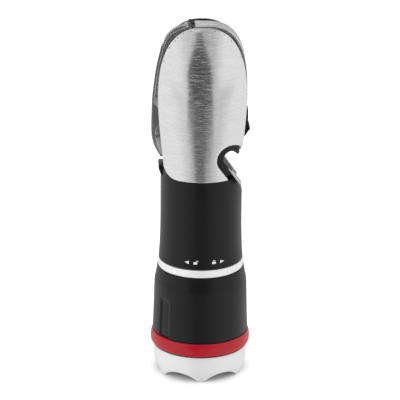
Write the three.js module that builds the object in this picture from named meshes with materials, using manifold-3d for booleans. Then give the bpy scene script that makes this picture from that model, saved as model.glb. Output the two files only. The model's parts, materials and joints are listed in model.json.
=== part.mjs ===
// Multi-tool torch: an LED torch that stands on its lamp bezel, with folding tools at the other end.
// Millimetres. +Z is up along the torch, -Y is the front, +X is to the right seen from the front.
// The origin is on the torch's axis, at the feet of the lamp bezel.
import * as THREE from 'three';
import { mergeVertices } from 'three/addons/utils/BufferGeometryUtils.js';
import Module from 'manifold-3d';

const wasm = await Module();
wasm.setup();

// ---------- driving dimensions ----------
const GAP = 0.3;
const SEGMENTS = 24;
const OUTER_SEGMENTS = 36;

const bezel = { footRadius: 20.6, topRadius: 22.0, top: 13.3, teeth: 6, toothWidth: 3.6, toothDepth: 3.6 };
const ring = { bottom: 13.6, top: 19.8, radius: 23.45, inner: 18.6 };
const head = { bottom: 20.1, top: 51.9, radius: 22.4 };
// The grip grooves round the head: `start` is the angle from +X to the first one.
const flute = { count: 2, start: -2.47, radius: 6.4, orbit: 27.85, top: 39.2 };
const collar = { bottom: 52.2, top: 55.8, radius: 20.0, inner: 17.2 };
const tube = { bottom: 56.1, deck: 90.2, deckTop: 98.0, top: 102.0, radius: 19.0, bore: 16.8 };
const sleeve = { outer: 16.4, inner: 13.6, bottom: 40.0, top: 66.0, lugs: 3, lugRadius: 17.5 };
const cell = { radius: 5.2, length: 44.5, orbit: 6.2, bottom: 40.6 };

const cover = { bottom: 98.7, widest: 134.5, top: 169.6, halfWidth: 20.5, front: 19.2, thickness: 0.9 };
// The covers' outline is a superellipse of this power above the widest place, and draws in below it.
const outlineShape = { power: 2.5, drawIn: 3.4, drawPower: 1.4 };
// The covers' bend across (radius) and the way they lean back towards the top.
const dome = {
  lowRadius: 19.6, highRadius: 24.0, blend: 30, leanFrom: 135, leanHeight: 35, lean: 10.5, leanPower: 2.2,
};
const slotHalf = 6.4;
const liner = { outer: 6.1, inner: 5.3 };
const strap = { halfWidth: 4.9, thickness: 1.0, outset: 0.35, power: 3.0, leftEnd: -3.4, lowest: 131.4 };

const toolPivot = { x: -10.5, z: 155.0, pin: 2.0 };
const toolHole = toolPivot.pin + GAP + 0.05;
const toolThickness = 1.8;
const toolPitch = 2.4;
const serrationDepth = 0.35;
const lockPivot = { x: 16.0, z: 139.0, pin: 1.4 };

// The belt cutter's slot, in the front view: a round throat whose two straight walls open down to the right.
const notch = {
  x: 13.1, z: 108.9, radius: 3.4, wallAngle: -0.957, wallLength: 24,
  lipAngle: 1.309, lipSlope: -Math.PI / 4, lipLength: 20, tangentFrom: 1.0, linerMargin: 1.1,
  coverMargin: 3.2, backDrop: 3.2, midDrop: 2.2,
};
// The razor in the throat and the steel strip on the lower wall.
const blade = { half: 3.9, near: -1.2, far: -5.0, y0: -2.8, y1: -2.2 };
const guide = { length: 15.2, start: -1.2, width: 7.0, thickness: 0.5, y: -10.1 };

const buttonHeight = 77.0;
const ledOrbit = 5.6;

// ---------- materials ----------
function finish(color, roughness, metalness) {
  return new THREE.MeshStandardMaterial({ color, roughness, metalness });
}

const black = finish(0x17181a, 0.45, 0);
const satinSilver = finish(0xe4e5e7, 0.35, 0.6);
const brushedSteel = finish(0xc9cacb, 0.3, 1);
const toolSteel = finish(0x9a9c9f, 0.35, 1);
const redClear = finish(0xc01426, 0.2, 0);
const clear = finish(0xeef4f6, 0.05, 0);
const rubber = finish(0x222324, 0.8, 0);
const brass = finish(0xc9a24b, 0.35, 1);
const board = finish(0x1f5a36, 0.6, 0);
const mirror = finish(0xf2f2f2, 0.08, 1);
const cellSkin = finish(0x2f5f8a, 0.4, 0.2);

const part = new THREE.Group();

function add(name, geometry, material) {
  const mesh = new THREE.Mesh(geometry, material);
  mesh.name = name;
  part.add(mesh);
}

// ---------- solid helpers ----------
function clean(geometry) {
  const bare = geometry.clone();
  bare.deleteAttribute('normal');
  bare.deleteAttribute('uv');
  const merged = mergeVertices(bare, 1e-4);
  const index = merged.index.array;
  const kept = [];
  for (let i = 0; i < index.length; i += 3) {
    const [a, b, c] = [index[i], index[i + 1], index[i + 2]];
    if (a !== b && b !== c && c !== a) kept.push(a, b, c);
  }
  merged.setIndex(kept);
  return merged;
}

function toSolid(geometry) {
  const merged = clean(geometry);
  const vertProperties = new Float32Array(merged.attributes.position.array);
  const triVerts = new Uint32Array(merged.index.array);
  return new wasm.Manifold(new wasm.Mesh({ numProp: 3, vertProperties, triVerts }));
}

function toGeometry(solid) {
  const mesh = solid.getMesh();
  const geometry = new THREE.BufferGeometry();
  geometry.setAttribute('position', new THREE.BufferAttribute(mesh.vertProperties, 3));
  geometry.setIndex(new THREE.BufferAttribute(mesh.triVerts, 1));
  return geometry;
}

// A solid turned about Z from [radius, height] points that run counter-clockwise.
function turned(profile, segments = SEGMENTS) {
  const points = profile.map(([r, z]) => new THREE.Vector2(r, z));
  const onAxis = profile[0][0] === 0;
  if (!onAxis) points.push(points[0].clone());
  const geometry = new THREE.LatheGeometry(points, segments);
  geometry.rotateX(Math.PI / 2);
  return clean(geometry);
}

function ringSolid(inner, outer, bottom, top, segments = SEGMENTS) {
  return turned([[inner, bottom], [outer, bottom], [outer, top], [inner, top]], segments);
}

function disc(radius, bottom, top, segments = SEGMENTS) {
  return turned([[0, bottom], [radius, bottom], [radius, top], [0, top]], segments);
}

function block(x0, x1, y0, y1, z0, z1) {
  const geometry = new THREE.BoxGeometry(x1 - x0, y1 - y0, z1 - z0);
  geometry.translate((x0 + x1) / 2, (y0 + y1) / 2, (z0 + z1) / 2);
  return geometry;
}

// A flat sheet: an outline in the X-Z plane, given thickness along Y.
function sheet(outline, y0, y1) {
  const shape = new THREE.Shape(outline);
  const geometry = new THREE.ExtrudeGeometry(shape, { depth: y1 - y0, bevelEnabled: false });
  geometry.rotateX(Math.PI / 2);
  geometry.translate(0, y1, 0);
  return clean(geometry);
}

function crossPin(x, z, radius, y0, y1, segments = 16) {
  const geometry = new THREE.CylinderGeometry(radius, radius, y1 - y0, segments);
  geometry.translate(x, (y0 + y1) / 2, z);
  return geometry;
}

function uprightPin(x, y, radius, z0, z1, segments = 12) {
  const geometry = new THREE.CylinderGeometry(radius, radius, z1 - z0, segments);
  geometry.rotateX(Math.PI / 2);
  geometry.translate(x, y, (z0 + z1) / 2);
  return geometry;
}

function point(x, z) {
  return new THREE.Vector2(x, z);
}

function polar(centre, radius, angle) {
  return point(centre.x + radius * Math.cos(angle), centre.z + radius * Math.sin(angle));
}

function arc(centre, radius, from, to, steps) {
  const points = [];
  for (let i = 0; i <= steps; i += 1) points.push(polar(centre, radius, from + (to - from) * i / steps));
  return points;
}

function spline(points, steps) {
  return new THREE.SplineCurve(points).getPoints(steps);
}

function cut(solid, ...tools) {
  return tools.reduce((result, tool) => result.subtract(toSolid(tool)), solid);
}

// ---------- outline and dome of the tool end ----------
// Half width of the covers at a height; `grow` moves the whole outline outwards.
function halfWidth(z, grow = 0) {
  if (z >= cover.widest) {
    const t = Math.min(1, (z - cover.widest) / (cover.top + grow - cover.widest));
    return (cover.halfWidth + grow) * Math.pow(1 - Math.pow(t, outlineShape.power), 1 / outlineShape.power);
  }
  const t = (cover.widest - z) / (cover.widest - cover.bottom);
  return cover.halfWidth + grow - outlineShape.drawIn * Math.pow(t, outlineShape.drawPower);
}

function coverOutline(grow = 0, cornerRadius = 6) {
  const bottom = cover.bottom - grow;
  const cornerTop = bottom + cornerRadius;
  const sideX = halfWidth(cornerTop, grow);
  const right = arc({ x: sideX - cornerRadius, z: cornerTop }, cornerRadius, -Math.PI / 2, 0, 5);
  for (let i = 1; i < 5; i += 1) {
    const z = cornerTop + (cover.widest - cornerTop) * i / 5;
    right.push(point(halfWidth(z, grow), z));
  }
  const topSteps = 9;
  for (let i = 0; i <= topSteps; i += 1) {
    const angle = Math.PI / 2 * i / topSteps;
    const power = 2 / outlineShape.power;
    const x = (cover.halfWidth + grow) * Math.pow(Math.cos(angle), power);
    const z = cover.widest + (cover.top + grow - cover.widest) * Math.pow(Math.sin(angle), power);
    right.push(point(Math.abs(x) < 1e-6 ? 0 : x, z));
  }
  const left = right.slice(0, -1).reverse().map((p) => point(-p.x, p.y));
  return right.concat(left);
}

// Depth of the cover's outer surface in front of the axis, at a place in the front view.
function domeDepth(x, z) {
  const rise = Math.min(1, Math.max(0, (z - cover.bottom) / dome.blend));
  const radius = dome.lowRadius + (dome.highRadius - dome.lowRadius) * rise * rise * (3 - 2 * rise);
  const above = Math.max(0, z - dome.leanFrom) / dome.leanHeight;
  const back = dome.lean * Math.pow(above, dome.leanPower);
  const reach = Math.min(Math.abs(x), radius - 2.4);
  return cover.front - back - (radius - Math.sqrt(radius * radius - reach * reach));
}

// A slab from a little behind the dome to the depth that `innerAt` gives; `side` is -1 for the torch's front.
function domeSlab(side, outerInset, innerAt, columns = 10, rows = 12) {
  const width = 43;
  const low = cover.bottom - 1;
  const height = cover.top + 1.5 - low;
  const geometry = new THREE.BoxGeometry(width, 2, height, columns, 1, rows);
  const position = geometry.attributes.position;
  for (let i = 0; i < position.count; i += 1) {
    const x = position.getX(i);
    const z = position.getZ(i) + height / 2 + low;
    const isFront = position.getY(i) < 0;
    const surface = domeDepth(x, z) - outerInset;
    const isOuter = isFront === (side < 0);
    position.setXYZ(i, x, side * (isOuter ? surface : innerAt(x, z)), z);
  }
  return clean(geometry);
}

// The belt cutter's slot as an outline; `margin` widens it and `drop` lowers its lower wall.
// A wide margin runs on smoothly from the throat, and a narrow one leaves a pointed lip.
function notchOutline(margin = 0, drop = 0) {
  const radius = notch.radius + margin;
  const lowerAngle = notch.wallAngle - Math.PI / 2;
  const lipAngle = margin > notch.tangentFrom ? notch.lipSlope + Math.PI / 2 : notch.lipAngle;
  const throat = arc(notch, radius, lipAngle, lowerAngle + Math.PI * 2, 12);
  const lipStart = throat[0];
  const lipEnd = polar({ x: lipStart.x, z: lipStart.y }, notch.lipLength, notch.lipSlope);
  const lowerStart = throat.at(-1);
  const shifted = point(lowerStart.x + drop * Math.cos(lowerAngle), lowerStart.y + drop * Math.sin(lowerAngle));
  const lowerEnd = polar({ x: shifted.x, z: shifted.y }, notch.wallLength, notch.wallAngle);
  const outline = [lipEnd, ...throat];
  if (drop > 0) outline.push(shifted);
  outline.push(lowerEnd);
  return outline.reverse();
}

function notchCutter(margin, drop, y0, y1) {
  return sheet(notchOutline(margin, drop), y0, y1);
}

// ---------- lamp head ----------
function crownBezel() {
  const profile = [
    [17.6, 0], [bezel.footRadius, 0], [21.4, 3.0], [21.8, 8], [bezel.topRadius, bezel.top - 0.8],
    [21.2, bezel.top], [19.0, bezel.top], [19.0, 5.9], [16.6, 5.9], [16.6, 4.2],
  ];
  let solid = toSolid(turned(profile, OUTER_SEGMENTS));
  const pitch = 2 * Math.PI / bezel.teeth;
  const valley = bezel.footRadius * pitch - bezel.toothWidth;
  const valleyRadius = ((valley / 2) ** 2 + bezel.toothDepth ** 2) / (2 * bezel.toothDepth);
  for (let i = 0; i < bezel.teeth / 2; i += 1) {
    const cutter = new THREE.CylinderGeometry(valleyRadius, valleyRadius, 60, 24);
    cutter.rotateZ(Math.PI / 2);
    cutter.rotateZ(i * pitch);
    cutter.translate(0, 0, bezel.toothDepth - valleyRadius);
    solid = cut(solid, cutter);
  }
  return toGeometry(solid);
}

function reflectorCup() {
  return turned([
    [9.0, 22.6], [9.8, 22.6], [17.4, 10.6], [18.6, 10.6], [18.6, 9.6], [16.8, 9.6],
  ].reverse(), SEGMENTS);
}

function ledCluster() {
  const places = [[0, 0]];
  for (let i = 0; i < 6; i += 1) {
    const angle = i * Math.PI / 3;
    places.push([ledOrbit * Math.cos(angle), ledOrbit * Math.sin(angle)]);
  }
  let solid = toSolid(disc(8.4, 23.2, 24.2, 24));
  for (const [x, y] of places) {
    const led = turned([[0, 15.6], [1.4, 16.0], [2.4, 18.2], [2.4, 23.7], [0, 23.7]], 12);
    led.translate(x, y, 0);
    solid = solid.add(toSolid(led));
  }
  return toGeometry(solid);
}

function headShell() {
  const profile = [
    [21.0, head.bottom], [head.radius - 0.2, head.bottom], [head.radius, 21.5], [22.05, 33], [21.8, 42],
    [21.5, 45.6], [20.9, 48.4], [20.35, head.top], [17.2, head.top], [17.2, 48.6], [19.8, 44.5], [20.6, 36],
  ];
  let solid = toSolid(turned(profile, OUTER_SEGMENTS));
  for (let i = 0; i < flute.count; i += 1) {
    const angle = flute.start + i * 2 * Math.PI / flute.count;
    const x = flute.orbit * Math.cos(angle);
    const y = flute.orbit * Math.sin(angle);
    solid = cut(solid, uprightPin(x, y, flute.radius, head.bottom - 1, flute.top, 20));
  }
  return toGeometry(solid);
}

function bayonetSleeve() {
  const groove = 56.6;
  let solid = toSolid(turned([
    [sleeve.inner, sleeve.bottom], [sleeve.outer, sleeve.bottom], [sleeve.outer, groove],
    [sleeve.outer - 1.9, groove], [sleeve.outer - 1.9, groove + 2.2], [sleeve.outer, groove + 2.2],
    [sleeve.outer, sleeve.top], [sleeve.inner, sleeve.top],
  ]));
  for (let i = 0; i < sleeve.lugs; i += 1) {
    const lug = block(sleeve.outer - 1.2, sleeve.lugRadius, -2.4, 2.4, 60.6, 62.6);
    lug.rotateZ(i * 2 * Math.PI / sleeve.lugs);
    solid = solid.add(toSolid(lug));
  }
  return toGeometry(solid);
}

add('crown_bezel', crownBezel(), satinSilver);
add('front_lens', disc(18.6, 6.2, 7.8), clear);
add('lens_gasket', ringSolid(17.2, 18.6, 8.1, 9.3), rubber);
add('reflector', reflectorCup(), mirror);
add('leds', ledCluster(), clear);
add('led_board', disc(15.8, 24.5, 26.1), board);
add('driver_board', disc(14.5, 28.9, 30.5), board);
add('contact_plate', turned([[0, 33.2], [3, 33.2], [3, 35.4], [8, 35.4], [8, 36.6], [0, 36.6]], 24), brass);
add('warning_ring', turned([
  [ring.inner, ring.bottom], [22.65, ring.bottom], [ring.radius - 0.1, ring.bottom + 1.2],
  [ring.radius, ring.bottom + 2.6], [23.15, ring.top - 1.2], [22.7, ring.top], [ring.inner, ring.top],
], OUTER_SEGMENTS), redClear);
add('head_shell', headShell(), black);
add('collar_ring', turned([
  [collar.inner, collar.bottom], [collar.radius - 0.15, collar.bottom], [collar.radius, collar.bottom + 0.3],
  [collar.radius - 0.1, collar.top - 0.2], [collar.radius - 0.3, collar.top], [collar.inner, collar.top],
], OUTER_SEGMENTS), satinSilver);
add('bayonet_sleeve', bayonetSleeve(), black);
add('seal_ring', turned([
  [14.9, 57.0], [15.7, 56.9], [16.5, 57.4], [16.5, 58.2], [15.7, 58.5], [14.9, 58.4],
]), rubber);

// ---------- battery tube and what it holds ----------
function batteryTube() {
  const groove = { bottom: 60.2, top: 63.0, radius: 17.9 };
  let solid = toSolid(turned([
    [tube.bore, tube.bottom], [tube.radius + 0.75, tube.bottom], [tube.radius + 0.35, 62], [tube.radius, 72],
    [tube.radius, tube.top], [0, tube.top], [0, tube.deck], [tube.bore, tube.deck],
    [tube.bore, groove.top], [groove.radius, groove.top], [groove.radius, groove.bottom],
    [tube.bore, groove.bottom],
  ], OUTER_SEGMENTS));
  for (let i = 0; i < sleeve.lugs; i += 1) {
    const entry = block(tube.bore - 1, groove.radius, -2.8, 2.8, tube.bottom - 1, groove.bottom + 0.5);
    entry.rotateZ(i * 2 * Math.PI / sleeve.lugs + THREE.MathUtils.degToRad(40));
    solid = cut(solid, entry);
  }
  const floor = cover.bottom - GAP;
  for (const side of [-1, 1]) {
    const recess = sheet(coverOutline(GAP), side < 0 ? -30 : slotHalf - 0.1, side < 0 ? -slotHalf + 0.1 : 30);
    solid = cut(solid, recess);
  }
  const slot = block(-30, 30, -slotHalf, slotHalf, tube.deckTop, floor + 10);
  const window = new THREE.CylinderGeometry(5.9, 5.9, 12, 32);
  window.translate(0, tube.radius, buttonHeight);
  solid = cut(solid, slot, window, ...screwPlaces().map(([x, y]) => uprightPin(x, y, 1.55, 88, 110)));
  solid = cut(solid, notchCutter(0.8, 0, -30, -slotHalf + 0.2), notchCutter(0, notch.backDrop, -slotHalf, 30));
  return toGeometry(solid);
}

function screwPlaces() {
  return [[-8, -10.5], [3, -12.5], [-8, 10.5], [3, 12.5]];
}

function frameScrew(x, y) {
  const shank = toSolid(uprightPin(x, y, 1.25, 89.6, 107));
  return toGeometry(shank.add(toSolid(uprightPin(x, y, 2.4, 88.2, 89.8))));
}

function cellPlaces() {
  return [0, 1, 2].map((i) => {
    const angle = Math.PI / 2 + i * 2 * Math.PI / 3;
    return [cell.orbit * Math.cos(angle), cell.orbit * Math.sin(angle)];
  });
}

function batteryCarrier() {
  const top = cell.bottom + cell.length + GAP;
  let solid = toSolid(disc(12.4, 37.0, cell.bottom - GAP)).add(toSolid(disc(12.4, top, top + 2)));
  for (let i = 0; i < 3; i += 1) {
    const rib = block(10.2, 12.2, -1.8, 1.8, 38, top + 1);
    rib.rotateZ(-Math.PI / 2 + i * 2 * Math.PI / 3);
    solid = solid.add(toSolid(rib));
  }
  return toGeometry(solid);
}

function batteryCell(x, y) {
  const geometry = turned([
    [0, cell.bottom], [cell.radius, cell.bottom], [cell.radius, cell.bottom + cell.length - 1.2],
    [1.9, cell.bottom + cell.length - 1.2], [1.9, cell.bottom + cell.length], [0, cell.bottom + cell.length],
  ], 24);
  geometry.translate(x, y, 0);
  return geometry;
}

function tailSpring() {
  const turns = 2;
  const points = [];
  for (let i = 0; i <= turns * 8; i += 1) {
    const angle = i * Math.PI / 4;
    const z = 88.1 + 1.7 * i / (turns * 8);
    points.push(new THREE.Vector3(4 * Math.cos(angle), 4 * Math.sin(angle), z));
  }
  const wire = new THREE.Shape().absarc(0, 0, 0.35, 0, 2 * Math.PI);
  const geometry = new THREE.ExtrudeGeometry(wire, {
    steps: turns * 8, curveSegments: 3, bevelEnabled: false, extrudePath: new THREE.CatmullRomCurve3(points),
  });
  return clean(geometry);
}

function radialPin(radius, y0, y1, segments = 32) {
  return crossPin(0, buttonHeight, radius, y0, y1, segments);
}

add('battery_tube', batteryTube(), black);
add('battery_carrier', batteryCarrier(), black);
cellPlaces().forEach(([x, y], i) => add(`battery_cell_${i + 1}`, batteryCell(x, y), cellSkin));
add('tail_spring', tailSpring(), toolSteel);
screwPlaces().forEach(([x, y], i) => add(`frame_screw_${i + 1}`, frameScrew(x, y), toolSteel));
add('switch_module', block(-4.5, 4.5, 12.9, 15.6, buttonHeight - 6, buttonHeight + 6), black);
add('switch_bezel', toGeometry(cut(toSolid(radialPin(5.6, 16.9, 19.4)), radialPin(4.7, 16, 21))), satinSilver);
add('switch_button', radialPin(4.35, 17.0, 20.2), rubber);

// ---------- scales, covers and liners ----------
function scale(side) {
  const outline = sheet(coverOutline(-1.5), side < 0 ? -24 : slotHalf, side < 0 ? -slotHalf : 24);
  const inset = cover.thickness + GAP + 0.3;
  let solid = toSolid(outline).intersect(toSolid(domeSlab(side, inset, () => slotHalf - 1)));
  const pinDepth = 9.3;
  const [y0, y1] = side < 0 ? [-pinDepth, 0] : [0, pinDepth];
  solid = cut(solid, crossPin(toolPivot.x, toolPivot.z, toolHole, y0, y1));
  solid = cut(solid, crossPin(lockPivot.x, lockPivot.z, lockPivot.pin + GAP, y0, y1));
  const places = screwPlaces().filter(([, y]) => y * side > 0);
  solid = cut(solid, ...places.map(([x, y]) => uprightPin(x, y, 1.55, 95, 107.4)));
  if (side < 0) return toGeometry(cut(solid, notchCutter(0, 0, -30, 0), beltGuide(GAP)));
  return toGeometry(cut(solid, notchCutter(0, notch.backDrop, 0, 30)));
}

function toolCover(side) {
  const outline = sheet(coverOutline(), side < 0 ? -24 : 4, side < 0 ? -4 : 24);
  const slab = domeSlab(side, 0, (x, z) => domeDepth(x, z) - cover.thickness);
  let solid = toSolid(outline).intersect(toSolid(slab));
  if (side < 0) solid = cut(solid, notchCutter(notch.coverMargin, 0, -30, 0));
  else solid = cut(solid, notchCutter(notch.coverMargin, notch.backDrop, 0, 30));
  return toGeometry(solid);
}

function slotLiner(side) {
  const [y0, y1] = side < 0 ? [-liner.outer, -liner.inner] : [liner.inner, liner.outer];
  let solid = toSolid(sheet(coverOutline(-0.5), y0, y1));
  solid = cut(solid, crossPin(toolPivot.x, toolPivot.z, toolHole, -10, 10));
  solid = cut(solid, crossPin(lockPivot.x, lockPivot.z, lockPivot.pin + GAP, -10, 10));
  if (side < 0) return toGeometry(cut(solid, notchCutter(notch.linerMargin, 0, -30, 30)));
  return toGeometry(cut(solid, notchCutter(notch.linerMargin, notch.backDrop, -30, 30)));
}

add('front_scale', scale(-1), black);
add('back_scale', scale(1), black);
add('front_cover', toolCover(-1), brushedSteel);
add('back_cover', toolCover(1), brushedSteel);
add('front_liner', slotLiner(-1), brushedSteel);
add('back_liner', slotLiner(1), brushedSteel);

// ---------- strap, stop bar, tip rest and belt cutter ----------
// Outer edge of the strap, from its top left end over the shoulder and down the right side.
function strapEdge(grow) {
  const a = cover.halfWidth + strap.outset + grow;
  const b = cover.top + grow - cover.widest;
  const points = [];
  const steps = 12;
  for (let i = 0; i <= steps; i += 1) {
    const angle = Math.PI / 2 * (1 - i / steps);
    const x = a * Math.pow(Math.abs(Math.cos(angle)), 2 / strap.power);
    points.push(point(x < 1e-6 ? 0 : x, cover.widest + b * Math.pow(Math.sin(angle), 2 / strap.power)));
  }
  points.push(point(a - 0.15, strap.lowest));
  return points;
}

function frameStrap() {
  const outer = strapEdge(0);
  const inner = strapEdge(-strap.thickness);
  const top = outer[0].y;
  const outline = [point(strap.leftEnd, inner[0].y), ...inner, ...outer.reverse(), point(strap.leftEnd, top)];
  return sheet(outline, -strap.halfWidth, strap.halfWidth);
}

// A small flat cap at the strap's end, wider at the back than at the front.
function stopBar() {
  const shape = new THREE.Shape([
    new THREE.Vector2(-5.1, -2.2), new THREE.Vector2(-4.0, -2.2),
    new THREE.Vector2(-3.9, 4.4), new THREE.Vector2(-6.2, 4.4),
  ]);
  const geometry = new THREE.ExtrudeGeometry(shape, { depth: 0.7, bevelEnabled: false });
  geometry.translate(0, 0, cover.top);
  return geometry;
}

function tipRest() {
  const outline = [
    point(-10, tube.deckTop + GAP), point(-10, 102.0), point(-16.5, 102.6),
    ...arc({ x: -19.0, z: 101.6 }, 1.1, Math.PI / 2, Math.PI, 5), point(-19.0, tube.deckTop + GAP),
  ];
  return sheet(outline, -liner.inner + GAP, liner.inner - GAP);
}

function cutterInsert() {
  const outline = [
    point(2.0, tube.deckTop + GAP), point(17.4, tube.deckTop + GAP), point(17.5, 108.6), point(17.2, 112.8),
    point(13.0, 116.5), point(2.0, 116.5),
  ];
  const half = liner.inner - GAP;
  let solid = toSolid(sheet(outline, -half, half));
  solid = cut(solid, notchCutter(0, notch.midDrop, -1.5, 30), notchCutter(0, 0, -30, 0));
  return toGeometry(cut(solid, sheet(bladeOutline(GAP), blade.y0 - GAP, blade.y1 + GAP)));
}

// The razor lies across the throat, square to the slot.
function bladeOutline(grow) {
  const across = polar({ x: 0, z: 0 }, 1, notch.wallAngle + Math.PI / 2);
  const along = polar({ x: 0, z: 0 }, 1, notch.wallAngle);
  const place = (u, v) => point(
    notch.x + across.x * u + along.x * v,
    notch.z + across.y * u + along.y * v,
  );
  const half = blade.half + grow;
  const far = blade.far - grow;
  return [place(-half, blade.near), place(half, blade.near), place(half, far), place(-half, far)];
}

// A thin strip on the slot's lower wall; `grow` makes room for it in its neighbours.
function beltGuide(grow = 0) {
  const geometry = new THREE.BoxGeometry(
    guide.length + 2 * grow, guide.width + 2 * grow, guide.thickness + 2 * grow,
  );
  const normalAngle = notch.wallAngle - Math.PI / 2;
  geometry.rotateY(-notch.wallAngle);
  const reach = notch.radius + guide.thickness / 2 + 0.1;
  const middle = guide.start + guide.length / 2;
  geometry.translate(
    notch.x + reach * Math.cos(normalAngle) + middle * Math.cos(notch.wallAngle),
    guide.y,
    notch.z + reach * Math.sin(normalAngle) + middle * Math.sin(notch.wallAngle),
  );
  return geometry;
}

add('frame_strap', frameStrap(), brushedSteel);
add('stop_bar', stopBar(), black);
add('tip_rest', tipRest(), black);
add('cutter_insert', cutterInsert(), satinSilver);
add('belt_blade', sheet(bladeOutline(0), blade.y0, blade.y1), toolSteel);
add('belt_guide', beltGuide(), brushedSteel);

// ---------- folding tools ----------
// The back edge of a folded tool, from the serrated shoulder down to the tip; `inset` draws it in.
function toolBack(inset) {
  const shoulder = spline([
    point(-6.8, 169.3), point(-10.3, 168.9 - inset), point(-13.8, 167.0 - inset), point(-16.7, 163.8 - inset),
    point(-19.0 + inset, 158.9),
  ], 28);
  shoulder.forEach((p, i) => {
    if (i < 3 || i > 26 || i % 2) return;
    p.add(new THREE.Vector2(toolPivot.x - p.x, toolPivot.z - p.y).setLength(serrationDepth));
  });
  const side = spline([
    point(-19.6 + inset, 156.2), point(-21.2 + inset, 149.0), point(-22.8 + inset, 137),
    point(-23.25 + inset, 129), point(-23.45 + inset, 120), point(-23.0 + inset, 114.6),
    point(-21.5 + inset, 110.2), point(-19.2 + inset, 106.0),
  ], 16);
  return shoulder.concat(side);
}

function toolBody(layer, backEdge, cuttingEdge) {
  const y0 = (layer - 1.5) * toolPitch - toolThickness / 2;
  const outline = [...backEdge, ...cuttingEdge];
  const flat = sheet(outline, y0, y0 + toolThickness);
  return cut(toSolid(flat), crossPin(toolPivot.x, toolPivot.z, toolHole, -10, 10));
}

function knifeBlade() {
  const edge = spline([
    point(-17.4, 105.6), point(-12.0, 108.5), point(-7.0, 115.5), point(-4.0, 126), point(-3.4, 140),
  ], 14);
  return toGeometry(toolBody(1, toolBack(0), [...edge, point(-3.4, 160), point(-5.2, 168.6)]));
}

function sawBlade() {
  const edge = [point(-17.6, 106.4), point(-12.0, 108.0)];
  const teeth = 12;
  for (let i = 0; i < teeth; i += 1) {
    const z = 111 + i * 2.6;
    const x = -10.0 + 4 * Math.min(1, i / 5);
    edge.push(point(x, z), point(x - 1.4, z + 1.3));
  }
  const heel = [point(-5, 146), point(-3.6, 160), point(-5.2, 168.6)];
  return toGeometry(toolBody(2, toolBack(0.5), [...edge, ...heel]));
}

function fileBlade() {
  const edge = [point(-17.6, 107), point(-12.5, 107), point(-11.5, 112), point(-8.5, 118), point(-8.5, 146)];
  return toGeometry(toolBody(3, toolBack(1.0), [...edge, point(-4.0, 158), point(-5.2, 168.6)]));
}

function bottleOpener() {
  const back = toolBack(0.8).filter((p) => p.y > 132);
  const hook = [
    point(-19.6, 129.5), point(-17.0, 126.0), point(-18.4, 123.6), point(-21.2, 120.4), point(-21.7, 118.4),
    point(-21.3, 114.6), point(-20.2, 110.6), point(-18.2, 106.8), point(-15.0, 106.2), point(-10.5, 109.0),
    point(-8.4, 114.0), point(-9.6, 119.0), point(-12.4, 120.6), point(-12.6, 125.4), point(-9.0, 129.0),
    point(-7.0, 136.0),
  ];
  return toGeometry(toolBody(0, [...back, ...hook], [point(-5, 146), point(-3.6, 160), point(-5.2, 168.6)]));
}

add('bottle_opener', bottleOpener(), toolSteel);
add('knife_blade', knifeBlade(), toolSteel);
add('saw_blade', sawBlade(), toolSteel);
add('file_blade', fileBlade(), toolSteel);
add('tool_pin', crossPin(toolPivot.x, toolPivot.z, toolPivot.pin, -9, 9), toolSteel);

// ---------- lock lever ----------
function lockLever() {
  const outline = [
    point(5.6, 151.6), point(6.4, 149.4), point(12.6, 138.5), point(14.0, 131.0), point(16.8, 121.0),
    point(17.2, 117.8), point(19.1, 115.7), point(22.3, 120.2), point(21.3, 122.6), point(21.2, 129.8),
    point(18.9, 130.9), point(18.8, 138.6), point(17.4, 141.6), point(14.6, 142.6), point(8.6, 151.2),
    point(6.6, 152.4),
  ].reverse();
  const solid = toSolid(sheet(outline, -4.5, 4.5));
  return toGeometry(cut(solid, crossPin(lockPivot.x, lockPivot.z, lockPivot.pin + 0.05, -10, 10)));
}

add('lock_lever', lockLever(), black);
add('lock_pin', crossPin(lockPivot.x, lockPivot.z, lockPivot.pin, -9, 9), toolSteel);

export default part;
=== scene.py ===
"""Looks of the multi-tool torch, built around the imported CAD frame. Blender works in metres.

The outlines below are drawn in millimetres in the CAD's front view (x to the right, z up) and scaled once.
"""
import json
import math

import bmesh
import bpy
import numpy as np
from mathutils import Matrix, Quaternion, Vector
from mathutils.geometry import delaunay_2d_cdt


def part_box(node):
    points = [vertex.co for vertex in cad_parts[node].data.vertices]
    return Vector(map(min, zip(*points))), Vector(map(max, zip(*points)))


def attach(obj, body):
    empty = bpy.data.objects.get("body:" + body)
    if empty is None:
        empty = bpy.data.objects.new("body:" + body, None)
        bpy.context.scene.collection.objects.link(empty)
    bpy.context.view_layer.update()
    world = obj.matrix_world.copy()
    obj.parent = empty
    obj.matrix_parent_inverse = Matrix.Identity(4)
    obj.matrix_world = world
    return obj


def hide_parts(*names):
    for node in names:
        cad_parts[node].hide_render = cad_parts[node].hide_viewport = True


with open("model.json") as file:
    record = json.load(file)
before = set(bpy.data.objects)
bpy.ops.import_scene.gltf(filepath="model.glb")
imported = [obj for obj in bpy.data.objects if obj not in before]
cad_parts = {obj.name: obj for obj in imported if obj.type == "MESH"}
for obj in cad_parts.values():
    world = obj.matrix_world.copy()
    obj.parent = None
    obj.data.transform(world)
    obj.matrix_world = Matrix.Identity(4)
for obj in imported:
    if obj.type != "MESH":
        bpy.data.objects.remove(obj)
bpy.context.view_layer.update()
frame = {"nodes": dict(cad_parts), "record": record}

MM = 0.001


# ---------- sizes read from the frame, in millimetres ----------
def span(node):
    low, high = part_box(node)
    return [c / MM for c in low], [c / MM for c in high]


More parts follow.
